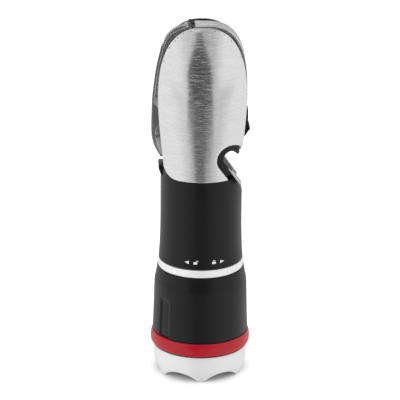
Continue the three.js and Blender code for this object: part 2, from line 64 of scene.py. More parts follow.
COVER_LOW, COVER_HIGH = span("front_cover")
COVER_BOTTOM = COVER_LOW[2]
COVER_TOP = COVER_HIGH[2]
COVER_HALF = COVER_HIGH[0]
COVER_FRONT = -COVER_LOW[1]
COVER_WIDEST = COVER_BOTTOM + 0.505 * (COVER_TOP - COVER_BOTTOM)
OUTLINE_POWER = 2.5
COVER_THICK = 0.9
CROWN_LOW, CROWN_HIGH = span("crown_bezel")
RING_LOW, RING_HIGH = span("warning_ring")
SHELL_LOW, SHELL_HIGH = span("head_shell")
COLLAR_LOW, COLLAR_HIGH = span("collar_ring")
TUBE_LOW = span("battery_tube")[0]
STRAP_LOW, STRAP_HIGH = span("frame_strap")
BUTTON_LOW, BUTTON_HIGH = span("switch_button")
BUTTON_RING_LOW, BUTTON_RING_HIGH = span("switch_bezel")
TUBE_RADIUS = 19.0
SLOT_HALF = 6.4

PIVOT = (-10.5, 155.0)
NOTCH = (13.1, 108.9)
NOTCH_RADIUS = 3.4
NOTCH_ANGLE = -0.957
NOTCH_LIP = 1.309
NOTCH_BACK_DROP = 3.2
COVER_NOTCH_MARGIN = 3.2


# ---------- small shape tools ----------
def arc(centre, radius, start, end, steps):
    angles = np.linspace(start, end, steps + 1)
    return [(centre[0] + radius * math.cos(a), centre[1] + radius * math.sin(a)) for a in angles]


def curve_through(points, steps):
    """A smooth open curve through the points (Catmull-Rom), with `steps` parts in each span."""
    p = [np.array(q, dtype=float) for q in points]
    p = [2 * p[0] - p[1]] + p + [2 * p[-1] - p[-2]]
    out = []
    for i in range(1, len(p) - 2):
        for k in range(steps):
            t = k / steps
            a, b, c, d = p[i - 1], p[i], p[i + 1], p[i + 2]
            out.append(tuple(0.5 * (2 * b + (c - a) * t + (2 * a - 5 * b + 4 * c - d) * t * t
                                    + (3 * b - a - 3 * c + d) * t ** 3)))
    out.append(tuple(p[-2]))
    return out


def rounded(profile, radius, steps=4, closed=True):
    """The same polygon with each corner rounded; `radius` is one number or one for each corner."""
    n = len(profile)
    radii = [radius] * n if isinstance(radius, (int, float)) else radius
    out = []
    for i, point in enumerate(profile):
        p = np.array(point, dtype=float)
        if (not closed and i in (0, n - 1)) or radii[i] <= 0:
            out.append(tuple(p))
            continue
        before = np.array(profile[i - 1], dtype=float) - p
        after = np.array(profile[(i + 1) % n], dtype=float) - p
        reach = min(radii[i], 0.45 * np.linalg.norm(before), 0.45 * np.linalg.norm(after))
        start = p + before / np.linalg.norm(before) * reach
        end = p + after / np.linalg.norm(after) * reach
        for k in range(steps + 1):
            t = k / steps
            out.append(tuple((1 - t) ** 2 * start + 2 * t * (1 - t) * p + t * t * end))
    return out


def dense(loop, step):
    """The closed loop with no side longer than `step`."""
    out = []
    for i, a in enumerate(loop):
        b = loop[(i + 1) % len(loop)]
        parts = max(1, math.ceil(math.dist(a, b) / step))
        for k in range(parts):
            t = k / parts
            out.append((a[0] + (b[0] - a[0]) * t, a[1] + (b[1] - a[1]) * t))
    return out


def inside(points, loop):
    """Which of the points lie inside the closed loop."""
    p = np.asarray(points, dtype=float)
    q = np.asarray(loop, dtype=float)
    result = np.zeros(len(p), dtype=bool)
    x, y = p[:, 0], p[:, 1]
    for (x0, y0), (x1, y1) in zip(q, np.roll(q, -1, axis=0)):
        if y0 == y1:
            continue
        crosses = (y0 > y) != (y1 > y)
        result ^= crosses & (x < (x1 - x0) * (y - y0) / (y1 - y0) + x0)
    return result


def distance_to(points, loop, closed=True):
    p = np.asarray(points, dtype=float)
    q = np.asarray(loop, dtype=float)
    ends = np.roll(q, -1, axis=0) if closed else q[1:]
    starts = q if closed else q[:-1]
    best = np.full(len(p), 1e9)
    for a, b in zip(starts, ends):
        d = b - a
        length = max(float(d @ d), 1e-12)
        t = np.clip(((p - a) @ d) / length, 0, 1)
        best = np.minimum(best, np.linalg.norm(p - (a + t[:, None] * d), axis=1))
    return best


def area(loop):
    q = np.asarray(loop, dtype=float)
    r = np.roll(q, -1, axis=0)
    return 0.5 * float(np.sum(q[:, 0] * r[:, 1] - r[:, 0] * q[:, 1]))


def crossing(a, b, loop):
    for c, d in zip(loop, loop[1:] + loop[:1]):
        r = (b[0] - a[0], b[1] - a[1])
        s = (d[0] - c[0], d[1] - c[1])
        den = r[0] * s[1] - r[1] * s[0]
        if abs(den) < 1e-12:
            continue
        t = ((c[0] - a[0]) * s[1] - (c[1] - a[1]) * s[0]) / den
        u = ((c[0] - a[0]) * r[1] - (c[1] - a[1]) * r[0]) / den
        if 0 <= t <= 1 and 0 <= u <= 1:
            return (a[0] + t * r[0], a[1] + t * r[1])
    return None


def run_of(flags):
    """First index and length of the one run of True in a circular list."""
    n = len(flags)
    first = next(i for i in range(n) if flags[i] and not flags[i - 1])
    length = 0
    while flags[(first + length) % n]:
        length += 1
    return first, length


def bitten(loop, cutter, step=0.35):
    """The loop with the cutter's area taken out, where the two cross exactly twice."""
    loop = dense(loop, step)
    cutter = dense(cutter, step)
    outside = list(~inside(loop, cutter))
    first, length = run_of(outside)
    kept = [loop[(first + i) % len(loop)] for i in range(length)]
    within = list(inside(cutter, loop))
    first_c, length_c = run_of(within)
    bite = [cutter[(first_c + i) % len(cutter)] for i in range(length_c)]
    if math.dist(kept[-1], bite[0]) > math.dist(kept[-1], bite[-1]):
        bite.reverse()
    leave = crossing(kept[-1], loop[(first + length) % len(loop)], cutter)
    enter = crossing(loop[first - 1], kept[0], cutter)
    middle = ([leave] if leave else []) + bite + ([enter] if enter else [])
    return relaxed(kept + middle)


def relaxed(loop, sharp=0.5, spread=3, rounds=6):
    """The loop with its sharp corners eased."""
    p = np.asarray(loop, dtype=float)
    n = len(p)
    before, after = p - np.roll(p, 1, axis=0), np.roll(p, -1, axis=0) - p
    turn = np.abs((np.arctan2(after[:, 1], after[:, 0]) - np.arctan2(before[:, 1], before[:, 0]) + np.pi)
                  % (2 * np.pi) - np.pi)
    near = np.zeros(n, dtype=bool)
    for i in np.nonzero(turn > sharp)[0]:
        for k in range(-spread, spread + 1):
            near[(i + k) % n] = True
    for _ in range(rounds):
        smooth = 0.5 * p + 0.25 * (np.roll(p, 1, axis=0) + np.roll(p, -1, axis=0))
        p = np.where(near[:, None], smooth, p)
    kept = [tuple(p[0])]
    for q in p[1:]:
        if math.dist(q, kept[-1]) > 0.02:
            kept.append(tuple(q))
    return kept


# ---------- mesh makers ----------
def piece(name, verts, faces, body, replaces=(), slot=None, material=None, sharp=32):
    """A new object from millimetre vertices, smooth-shaded, riding on its body."""
    mesh = bpy.data.meshes.new(name)
    mesh.from_pydata([(x * MM, y * MM, z * MM) for x, y, z in verts], [], faces)
    mesh.validate()
    obj = bpy.data.objects.new(name, mesh)
    bpy.context.scene.collection.objects.link(obj)
    bm = bmesh.new()
    bm.from_mesh(mesh)
    bmesh.ops.remove_doubles(bm, verts=bm.verts, dist=1e-7)
    bmesh.ops.recalc_face_normals(bm, faces=bm.faces)
    bm.to_mesh(mesh)
    bm.free()
    mesh.shade_smooth()
    mesh.set_sharp_from_angle(angle=math.radians(sharp))
    if material:
        mesh.materials.append(material)
    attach(obj, body)
    if replaces:
        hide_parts(*replaces)
    return obj


def lathe(profile, segments, shape=None):
    """Vertices and faces of a closed ring turned about Z; `shape(r, z, angle)` can move each point."""
    verts, faces = [], []
    n = len(profile)
    for i in range(segments):
        angle = 2 * math.pi * i / segments
        for r, z in profile:
            if shape:
                r, z = shape(r, z, angle)
            verts.append((r * math.cos(angle), r * math.sin(angle), z))
    for i in range(segments):
        j = (i + 1) % segments
        for k in range(n):
            m = (k + 1) % n
            faces.append((i * n + k, j * n + k, j * n + m, i * n + m))
    return verts, faces


def disc_lathe(profile, segments):
    """Like lathe, for an open profile that starts and ends on the axis."""
    verts, faces = [], []
    inner = profile[1:-1]
    n = len(inner)
    for i in range(segments):
        angle = 2 * math.pi * i / segments
        verts += [(r * math.cos(angle), r * math.sin(angle), z) for r, z in inner]
    first = len(verts)
    verts += [(0, 0, profile[0][1]), (0, 0, profile[-1][1])]
    for i in range(segments):
        j = (i + 1) % segments
        for k in range(n - 1):
            faces.append((i * n + k, j * n + k, j * n + k + 1, i * n + k + 1))
        faces.append((first, j * n, i * n))
        faces.append((first + 1, i * n + n - 1, j * n + n - 1))
    return verts, faces


def inset(loop, distance):
    p = np.asarray(loop, dtype=float)
    before = p - np.roll(p, 1, axis=0)
    after = np.roll(p, -1, axis=0) - p
    before /= np.maximum(np.linalg.norm(before, axis=1), 1e-9)[:, None]
    after /= np.maximum(np.linalg.norm(after, axis=1), 1e-9)[:, None]
    n1 = np.stack([-before[:, 1], before[:, 0]], axis=1)
    n2 = np.stack([-after[:, 1], after[:, 0]], axis=1)
    mid = n1 + n2
    mid /= np.maximum(np.linalg.norm(mid, axis=1), 1e-9)[:, None]
    cosine = np.maximum(np.sum(mid * n1, axis=1), 0.55)
    return p + mid * (distance / cosine)[:, None]


def slab(loops, front, back, rounding=0.2, steps=3, spacing=None):
    """Vertices and faces of a sheet in the front view between two depths, with rounded rims.

    loops[0] is the outer edge and the others are holes. front and back give y at points (n x 2)."""
    loops = [list(loop) for loop in loops]
    loops = [loop if (area(loop) > 0) == (i == 0) else loop[::-1] for i, loop in enumerate(loops)]
    verts, faces = [], []
    rims = []
    for loop in loops:
        rows = []
        angles = [math.pi / 2 * k / steps for k in range(steps + 1)]
        for side, depth in (("front", front), ("back", back)):
            for a in angles if side == "front" else angles[::-1]:
                flat = inset(loop, rounding * (1 - math.sin(a)))
                drop = rounding * (1 - math.cos(a)) * (1 if side == "front" else -1)
                y = depth(flat) + drop
                rows.append(range(len(verts), len(verts) + len(flat)))
                verts += [(x, d, z) for (x, z), d in zip(flat, y)]
        for low, high in zip(rows, rows[1:]):
            n = len(low)
            for i in range(n):
                j = (i + 1) % n
                faces.append((low[i], low[j], high[j], high[i]))
        rims.append((inset(loop, rounding), rows[0], rows[-1]))
    flat_points = np.concatenate([rim for rim, _, _ in rims])
    edges, start = [], 0
    for rim, _, _ in rims:
        edges += [(start + i, start + (i + 1) % len(rim)) for i in range(len(rim))]
        start += len(rim)
    fill = np.zeros((0, 2))
    if spacing:
        low, high = flat_points.min(axis=0), flat_points.max(axis=0)
        rows = np.arange(low[1], high[1], spacing * 0.866)
        grid = [(x + (0.5 * spacing if k % 2 else 0), z) for k, z in enumerate(rows)
                for x in np.arange(low[0], high[0], spacing)]
        grid = np.array(grid)
        ok = inside(grid, rims[0][0])
        for rim, _, _ in rims[1:]:
            ok &= ~inside(grid, rim)
        grid = grid[ok]
        for rim, _, _ in rims:
            grid = grid[distance_to(grid, rim) > 0.62 * spacing]
        fill = grid
    points = np.concatenate([flat_points, fill])
    out = delaunay_2d_cdt([Vector(p) for p in points], edges, [], 0, 1e-7)
    place, triangles, origins = [tuple(v) for v in out[0]], out[2], out[3]
    centres = np.array([np.mean([place[i] for i in t], axis=0) for t in triangles])
    ok = inside(centres, rims[0][0])
    for rim, _, _ in rims[1:]:
        ok &= ~inside(centres, rim)
    front_rim = [i for _, row, _ in rims for i in row]
    back_rim = [i for _, _, row in rims for i in row]
    for rim_row, depth, flip in ((front_rim, front, False), (back_rim, back, True)):
        index = {}
        missing = []
        for j, origin in enumerate(origins):
            on_rim = [o for o in origin if o < len(rim_row)]
            if on_rim:
                index[j] = rim_row[on_rim[0]]
            else:
                missing.append(j)
        if missing:
            spots = np.array([place[j] for j in missing])
            for j, spot, y in zip(missing, spots, depth(spots)):
                index[j] = len(verts)
                verts.append((spot[0], y, spot[1]))
        for t, keep in zip(triangles, ok):
            if keep:
                corner = [index[i] for i in t]
                faces.append(tuple(corner[::-1] if flip else corner))
    return verts, faces


def flat(depth):
    return lambda points: np.full(len(points), float(depth))


# ---------- outlines of the tool end ----------
def half_width(z, grow=0.0):
    if z >= COVER_WIDEST:
        t = min(1.0, (z - COVER_WIDEST) / (COVER_TOP + grow - COVER_WIDEST))
        return (COVER_HALF + grow) * (1 - t ** OUTLINE_POWER) ** (1 / OUTLINE_POWER)
    t = (COVER_WIDEST - z) / (COVER_WIDEST - COVER_BOTTOM)
    return COVER_HALF + grow - 3.4 * t ** 1.4


def cover_outline(grow=0.0, corner=6.0):
    bottom = COVER_BOTTOM - grow
    corner_top = bottom + corner
    side = half_width(corner_top, grow)
    right = arc((side - corner, corner_top), corner, -math.pi / 2, 0, 14)
    right += [(half_width(z, grow), z) for z in np.linspace(corner_top, COVER_WIDEST, 30)[1:-1]]
    for a in np.linspace(0, math.pi / 2, 61):
        x = (COVER_HALF + grow) * max(math.cos(a), 0.0) ** (2 / OUTLINE_POWER)
        z = COVER_WIDEST + (COVER_TOP + grow - COVER_WIDEST) * math.sin(a) ** (2 / OUTLINE_POWER)
        right.append((0.0 if x < 1e-4 else x, z))
    left = [(-x, z) for x, z in reversed(right[:-1])]
    return right + left


def dome_depth(points):
    x, z = points[:, 0], points[:, 1]
    rise = np.clip((z - COVER_BOTTOM) / 30, 0, 1)
    radius = 19.6 + 4.4 * rise * rise * (3 - 2 * rise)
    back = 10.5 * (np.clip(z - 135, 0, None) / 35) ** 2.2
    reach = np.minimum(np.abs(x), radius - 2.4)
    return COVER_FRONT - back - (radius - np.sqrt(radius ** 2 - reach ** 2))


def notch_outline(margin=0.0, drop=0.0):
    """The belt cutter's slot: a round throat whose two straight walls open down to the right.

    A wide margin runs on smoothly from the throat, and a narrow one leaves a pointed lip.
    """
    radius = NOTCH_RADIUS + margin
    lip = math.pi / 4 if margin > 1 else NOTCH_LIP
    lower = NOTCH_ANGLE - math.pi / 2
    throat = arc(NOTCH, radius, lip, lower + 2 * math.pi, 40)
    lip_end = (throat[0][0] + 20 * math.sin(math.pi / 4), throat[0][1] - 20 * math.cos(math.pi / 4))
    shifted = (throat[-1][0] + drop * math.cos(lower), throat[-1][1] + drop * math.sin(lower))
    lower_end = (shifted[0] + 24 * math.cos(NOTCH_ANGLE), shifted[1] + 24 * math.sin(NOTCH_ANGLE))
    return [lip_end] + throat + ([shifted] if drop > 0 else []) + [lower_end]


def tool_back(inset_by):
    """The back edge of a folded tool, from its serrated shoulder to its tip."""
    shoulder = curve_through([
        (-6.8, 169.3), (-10.3, 168.9 - inset_by), (-13.8, 167.0 - inset_by), (-16.7, 163.8 - inset_by),
        (-19.0 + inset_by, 158.9)], 30)
    length = [0.0]
    for a, b in zip(shoulder, shoulder[1:]):
        length.append(length[-1] + math.dist(a, b))
    grooves = 15
    cut = []
    for point, along in zip(shoulder, length):
        share = along / length[-1]
        depth = 0.0
        if 0.08 < share < 0.97:
            depth = 0.5 * (0.5 - 0.5 * math.cos(2 * math.pi * grooves * (share - 0.08) / 0.89))
        towards = np.array(PIVOT) - np.array(point)
        towards /= np.linalg.norm(towards)
        cut.append(tuple(np.array(point) + towards * depth))
    side = curve_through([
        (-19.6 + inset_by, 156.2), (-21.2 + inset_by, 149.0), (-22.8 + inset_by, 137),
        (-23.25 + inset_by, 129), (-23.45 + inset_by, 120), (-23.0 + inset_by, 114.6),
        (-21.5 + inset_by, 110.2), (-19.2 + inset_by, 106.0)], 8)
    return cut + side


# ---------- materials ----------
def node(tree, kind, **values):
    made = tree.nodes.new(kind)
    for key, value in values.items():
        if key in made.inputs:
            made.inputs[key].default_value = value
        else:
            setattr(made, key, value)
    return made


def finish(name, color, roughness, metallic=0.0, grain=(1, 1, 1), grain_scale=900.0, bump=0.05,
           vary=0.12, wear=0.0, wear_color=(0.5, 0.5, 0.5), aniso=0.0, coat=0.0, transmission=0.0, ior=1.5,
           specular=0.5, streaks=0.0):
    """A procedural finish: grain in colour, roughness and relief, and wear on its edges."""
    made = bpy.data.materials.new(name)
    made.use_nodes = True
    tree = made.node_tree
    shader = tree.nodes["Principled BSDF"]
    shader.inputs["Metallic"].default_value = metallic
    shader.inputs["Coat Weight"].default_value = coat
    shader.inputs["Transmission Weight"].default_value = transmission
    shader.inputs["IOR"].default_value = ior
    shader.inputs["Specular IOR Level"].default_value = specular
    where = node(tree, "ShaderNodeTexCoord")
    stretch = node(tree, "ShaderNodeMapping")
    stretch.inputs["Scale"].default_value = grain
    tree.links.new(where.outputs["Object"], stretch.inputs["Vector"])
    fine = node(tree, "ShaderNodeTexNoise", Scale=grain_scale, Detail=4.0, Roughness=0.6)
    tree.links.new(stretch.outputs["Vector"], fine.inputs["Vector"])
    broad = node(tree, "ShaderNodeTexNoise", Scale=55.0, Detail=3.0, Roughness=0.5)
    tree.links.new(where.outputs["Object"], broad.inputs["Vector"])

    shade = node(tree, "ShaderNodeMapRange")
    shade.inputs["From Min"].default_value = 0.3
    shade.inputs["From Max"].default_value = 0.7
    shade.inputs["To Min"].default_value = 1.0 - vary
    shade.inputs["To Max"].default_value = 1.0 + vary
    tree.links.new(fine.outputs["Fac"], shade.inputs["Value"])
    tint = node(tree, "ShaderNodeMix", data_type="RGBA", blend_type="MULTIPLY")
    tint.inputs[0].default_value = 1.0
    tint.inputs[6].default_value = (*color, 1.0)
    tree.links.new(shade.outputs["Result"], tint.inputs[7])
    base = tint.outputs[2]
    if wear > 0:
        geometry = node(tree, "ShaderNodeNewGeometry")
        edge = node(tree, "ShaderNodeMapRange")
        edge.inputs["From Min"].default_value = 0.52
        edge.inputs["From Max"].default_value = 0.62
        edge.inputs["To Max"].default_value = wear
        tree.links.new(geometry.outputs["Pointiness"], edge.inputs["Value"])
        worn = node(tree, "ShaderNodeMix", data_type="RGBA")
        worn.inputs[7].default_value = (*wear_color, 1.0)
        tree.links.new(edge.outputs["Result"], worn.inputs[0])
        tree.links.new(base, worn.inputs[6])
        base = worn.outputs[2]
    tree.links.new(base, shader.inputs["Base Color"])

    if streaks > 0:
        lines = node(tree, "ShaderNodeMapping")
        lines.inputs["Scale"].default_value = (0.1, 0.1, 1.0)
        tree.links.new(where.outputs["Object"], lines.inputs["Vector"])
        scratch = node(tree, "ShaderNodeTexNoise", Scale=2100.0, Detail=3.0, Roughness=0.7)
        tree.links.new(lines.outputs["Vector"], scratch.inputs["Vector"])
        shine = node(tree, "ShaderNodeMapRange")
        for socket, value in zip(("From Min", "From Max", "To Min", "To Max"),
                                 (0.48, 0.74, metallic, metallic - streaks)):
            shine.inputs[socket].default_value = value
        tree.links.new(scratch.outputs["Fac"], shine.inputs["Value"])
        tree.links.new(shine.outputs["Result"], shader.inputs["Metallic"])

    rough = node(tree, "ShaderNodeMapRange")
    rough.inputs["From Min"].default_value = 0.3
    rough.inputs["From Max"].default_value = 0.7
    rough.inputs["To Min"].default_value = max(0.02, roughness * 0.85)
    rough.inputs["To Max"].default_value = min(1.0, roughness * 1.18)
    tree.links.new(broad.outputs["Fac"], rough.inputs["Value"])
    tree.links.new(rough.outputs["Result"], shader.inputs["Roughness"])
    if bump > 0:
        relief = node(tree, "ShaderNodeBump", Strength=bump, Distance=0.0001)
        tree.links.new(fine.outputs["Fac"], relief.inputs["Height"])
        tree.links.new(relief.outputs["Normal"], shader.inputs["Normal"])
    if aniso > 0:
        shader.inputs["Anisotropic"].default_value = aniso
        shader.inputs["Anisotropic Rotation"].default_value = 0.25
        tangent = node(tree, "ShaderNodeTangent", direction_type="RADIAL", axis="Z")
        tree.links.new(tangent.outputs["Tangent"], shader.inputs["Tangent"])
    return made


BRUSH_ACROSS = (0.03, 0.03, 1.0)
M = {
    "black_plastic": finish("black_plastic", (0.0065, 0.0065, 0.007), 0.32, grain_scale=2600,
                            bump=0.10, vary=0.2,
                            wear=0.25, wear_color=(0.03, 0.03, 0.032), specular=0.27),
    "inner_plastic": finish("inner_plastic", (0.03, 0.03, 0.032), 0.5, grain_scale=1500, bump=0.1),
    "satin_silver": finish("satin_silver", (0.80, 0.80, 0.805), 0.42, metallic=0.22, grain_scale=3200,
                           bump=0.05,
                           vary=0.02, wear=0.2, wear_color=(0.9, 0.9, 0.9), specular=0.3),
    "brushed_steel": finish("brushed_steel", (0.80, 0.80, 0.80), 0.20, metallic=1.0, grain=BRUSH_ACROSS,
                            grain_scale=3300, bump=0.10, vary=0.05, wear=0.3, wear_color=(0.95, 0.95, 0.95),
                            aniso=0.5, streaks=0.32),
    "tool_steel": finish("tool_steel", (0.66, 0.665, 0.675), 0.24, metallic=1.0, grain=(0.05, 0.05, 1.0),
                         grain_scale=3800, bump=0.12, vary=0.08, wear=0.4, wear_color=(0.9, 0.9, 0.9)),
    "red_clear": finish("red_clear", (0.40, 0.002, 0.012), 0.22, grain_scale=700, bump=0.02, vary=0.06,
                        specular=0.4),
    "clear_lens": finish("clear_lens", (0.97, 0.98, 0.99), 0.04, grain_scale=400, bump=0.01, vary=0.01,
                         transmission=1.0, ior=1.49),
    "led_epoxy": finish("led_epoxy", (0.93, 0.93, 0.80), 0.12, grain_scale=500, bump=0.02,
                        vary=0.05, coat=0.5),
    "reflector_chrome": finish("reflector_chrome", (0.9, 0.9, 0.91), 0.07, metallic=1.0, grain_scale=600,
                               bump=0.02, vary=0.02),
    "circuit_board": finish("circuit_board", (0.02, 0.12, 0.05), 0.4, grain_scale=900, bump=0.1, vary=0.2),
    "brass": finish("brass", (0.75, 0.53, 0.2), 0.25, metallic=1.0, grain_scale=1200, bump=0.05),
    "rubber": finish("rubber", (0.02, 0.02, 0.021), 0.62, grain_scale=1400, bump=0.2, vary=0.15),
    "cell_skin": finish("cell_skin", (0.06, 0.13, 0.26), 0.35, metallic=0.2, grain_scale=800, bump=0.03),
    "print_white": finish("print_white", (0.72, 0.72, 0.72), 0.5, grain_scale=3000, bump=0.05, vary=0.1),
}

SLOT_OF = {row["node"]: row["material_slot"] for row in frame["record"]["subparts"]}


def dress(cad_node):
    """Gives a kept CAD node its slot's finish and soft edges."""
    obj = frame["nodes"][cad_node]
    made = M[SLOT_OF[cad_node]]
    if obj.data.materials:
        for i in range(len(obj.material_slots)):
            obj.material_slots[i].material = made
    else:
        obj.data.materials.append(made)
    soften = obj.modifiers.new("soften", "BEVEL")
    soften.width = 0.00012
    soften.segments = 2
    soften.limit_method = "ANGLE"
    soften.angle_limit = math.radians(40)


def take(name, mesh, cad_node, body, sharp=32):
    """A new piece that stands for one CAD node and wears its slot."""
    slot_name = SLOT_OF[cad_node]
    return piece(name, *mesh, body, replaces=(cad_node,), slot=slot_name, material=M[slot_name], sharp=sharp)


# ---------- lamp head ----------
def crown():
    teeth = 6
    foot, top = CROWN_LOW[2], CROWN_HIGH[2]
    radius = 20.6
    tooth_width, depth = 3.6, 3.6
    valley = radius * 2 * math.pi / teeth - tooth_width
    valley_radius = ((valley / 2) ** 2 + depth ** 2) / (2 * depth)
    outer = [(radius, foot), (21.4, 3.0), (21.8, 8.0), (CROWN_HIGH[0], top - 0.8), (21.2, top)]
    inner = [(19.0, top), (19.0, 5.9), (16.7, 5.9), (16.6, 4.3), (17.6, foot)]
    profile = rounded(outer + inner, [0.6, 1.5, 2, 0.5, 0.3, 0.2, 0.2, 0.3, 0.4, 0.5], steps=6)
    profile = dense(profile, 0.6)

    def scallop(r, z, angle):
        turn = (angle + math.pi / 2 - math.pi / teeth) % (2 * math.pi / teeth)
        turn = min(turn, 2 * math.pi / teeth - turn)
        across = r * math.sin(turn)
        if abs(across) >= valley_radius:
            return r, z
        floor = depth - valley_radius + math.sqrt(valley_radius ** 2 - across ** 2)
        lift = max(0.0, floor - foot)
        fade = max(0.0, 1 - (z - foot) / 6.0)
        return r, z + lift * fade ** 1.5 if z > foot + 0.01 else foot + lift
    take("bezel_crown", lathe(profile, 432, scallop), "crown_bezel", "lamp_head")


def red_ring():
    low, high, radius = RING_LOW[2], RING_HIGH[2], RING_HIGH[0]
    profile = [(18.8, low), (22.6, low), (radius - 0.15, low + 0.9), (radius, low + 2.4),
               (radius - 0.15, low + 3.9),
               (radius - 0.45, high - 0.8), (radius - 0.8, high), (18.8, high)]
    profile = dense(rounded(profile, [0.2, 0.5, 0.9, 0.9, 1.2, 0.6, 0.35, 0.2], steps=5), 0.7)
    take("ring_red", lathe(profile, 256), "warning_ring", "lamp_head")


def shadow_gap():
    """A dark ring set in the gap below the red ring: painted shadow for the shade that falls between the red
    ring and the crown.
    """
    top = RING_LOW[2]
    profile = [(20.4, top - 0.75), (22.2, top - 0.75), (22.2, top - 0.05), (20.4, top - 0.05)]
    ring = lathe(rounded(profile, 0.12, steps=3), 192)
    # painted shadow: a black rubber ring that darkens the shaded gap under the red ring
    piece("painted_shadow_crown", *ring, "lamp_head", slot="rubber", material=M["rubber"])


def shell():
    low, high = SHELL_LOW[2], SHELL_HIGH[2]
    outer = curve_through([(22.2, low), (22.38, low + 1.4), (22.1, 30), (21.9, 38), (21.75, 43.4)], 10)
    outer += curve_through([(21.6, 45.4), (21.2, 47.4), (20.75, 49.6), (20.35, high)], 8)
    inner = [(17.2, high), (17.2, 48.6), (19.8, 44.5), (20.6, 36), (21.0, low)]
    profile = dense(outer + inner, 0.7)
    flutes, start = 2, -2.47
    flute_top, half_flute = 39.0, 3.0

    def flute(r, z, angle):
        if r < 21.3 or z > flute_top + 2.5:
            return r, z
        turn = (angle - start) % (2 * math.pi / flutes)
        turn = min(turn, 2 * math.pi / flutes - turn)
        across = r * turn
        side = 1 / (1 + math.exp((across - half_flute) / 0.22))
        end = 1 / (1 + math.exp((z - flute_top + 0.09 * across ** 2) / 0.35))
        return r - 0.75 * side * end, z
    take("shell_head", lathe(profile, 720, flute), "head_shell", "lamp_head", sharp=40)


def collar():
    low, high, radius = COLLAR_LOW[2], COLLAR_HIGH[2], COLLAR_HIGH[0]
    profile = [(17.2, low), (radius - 0.05, low), (radius, low + 0.5), (radius - 0.1, high - 0.4),
               (radius - 0.2, high), (17.2, high)]
    profile = dense(rounded(profile, 0.25, steps=4), 0.8)
    take("ring_collar", lathe(profile, 256), "collar_ring", "lamp_head")


def lamp_inside():
    low, high = span("front_lens")
    lens = [(0, low[2]), (high[0] - 0.5, low[2]), (high[0], low[2] + 0.4), (high[0], high[2] - 0.3),
            (high[0] - 0.3, high[2]), (0, high[2])]
    take("lens_front", disc_lathe(lens, 192), "front_lens", "lamp_head")
    cup = [(9.0, 22.6), (9.8, 22.6), (17.4, 10.6), (18.6, 10.6), (18.6, 9.6), (16.8, 9.6)]
    bowl = curve_through([(16.8, 9.6), (14.6, 13.4), (11.8, 18.4), (9.0, 22.6)], 8)
    take("cup_reflector", lathe(bowl[:-1] + cup[:-1], 192), "reflector", "lamp_head", sharp=50)


# ---------- tube ----------
def carve(obj, cutters):
    """Cuts the cutter objects out of obj for good, then removes them."""
    for cutter in cutters:
        change = obj.modifiers.new("cut", "BOOLEAN")
        change.operation = "DIFFERENCE"
        change.solver = "EXACT"
        change.object = cutter
    bpy.context.view_layer.update()
    seen = obj.evaluated_get(bpy.context.evaluated_depsgraph_get())
    mesh = bpy.data.meshes.new_from_object(seen)
    obj.modifiers.clear()
    old = obj.data
    obj.data = mesh
    bpy.data.meshes.remove(old)
    for cutter in cutters:
        bpy.data.objects.remove(cutter)
    return obj


def loose(mesh_parts):
    """A helper object that is only used to cut with."""
    verts, faces = mesh_parts
    mesh = bpy.data.meshes.new("cutter")
    mesh.from_pydata([(x * MM, y * MM, z * MM) for x, y, z in verts], [], faces)
    obj = bpy.data.objects.new("cutter", mesh)
    bpy.context.scene.collection.objects.link(obj)
    bm = bmesh.new()
    bm.from_mesh(mesh)
    bmesh.ops.recalc_face_normals(bm, faces=bm.faces)
    bm.to_mesh(mesh)
    bm.free()
    return obj


def box_cutter(x0, x1, y0, y1, z0, z1):
    corners = [(x, y, z) for x in (x0, x1) for y in (y0, y1) for z in (z0, z1)]
    return loose((corners, [(0, 1, 3, 2), (4, 6, 7, 5), (0, 4, 5, 1), (2, 3, 7, 6),
                            (0, 2, 6, 4), (1, 5, 7, 3)]))


def round_cutter(radius, y0, y1, z, segments=96):
    ring = [(radius * math.cos(2 * math.pi * i / segments), z + radius * math.sin(2 * math.pi * i / segments))
            for i in range(segments)]
    verts = [(x, y0, h) for x, h in ring] + [(x, y1, h) for x, h in ring]
    faces = [tuple(range(segments)), tuple(range(2 * segments - 1, segments - 1, -1))]
    faces += [(i, (i + 1) % segments, segments + (i + 1) % segments, segments + i) for i in range(segments)]
    return loose((verts, faces))


def prism(loop, y0, y1):
    verts = [(x, y0, z) for x, z in loop] + [(x, y1, z) for x, z in loop]
    n = len(loop)
    faces = [tuple(range(n)), tuple(range(2 * n - 1, n - 1, -1))]
    faces += [(i, (i + 1) % n, n + (i + 1) % n, n + i) for i in range(n)]
    return loose((verts, faces))


def tube():
    low, top, radius = TUBE_LOW[2], 102.0, TUBE_RADIUS
    bore, deck = 16.8, 90.2
    profile = curve_through([(radius + 0.74, low + 0.3), (radius + 0.36, 62), (radius + 0.06, 71),
                             (radius, 76),
                             (radius, 88), (radius, top)], 6)
    profile = [(0, deck), (bore, deck), (bore, 63.0), (17.9, 63.0), (17.9, 60.2), (bore, 60.2), (bore, low),
               (radius + 0.55, low)] + profile + [(0, top)]
    verts, faces = disc_lathe(profile, 240)
    obj = take("tube_battery", (verts, faces), "battery_tube", "handle", sharp=30)
    window_z = (BUTTON_LOW[2] + BUTTON_HIGH[2]) / 2
    cutters = [
        prism(cover_outline(0.3), -30, -SLOT_HALF),
        prism(cover_outline(0.3), SLOT_HALF, 30),
        box_cutter(-30, 30, -SLOT_HALF - 0.01, SLOT_HALF + 0.01, 98.0, 110),
        round_cutter(5.9, 15.6, 30, window_z),
        prism(notch_outline(0.8), -30, -SLOT_HALF + 0.2),
        prism(notch_outline(0.0, NOTCH_BACK_DROP), -SLOT_HALF + 0.2, 30),
    ]
    carve(obj, cutters)
    obj.data.shade_smooth()
    obj.data.set_sharp_from_angle(angle=math.radians(24))


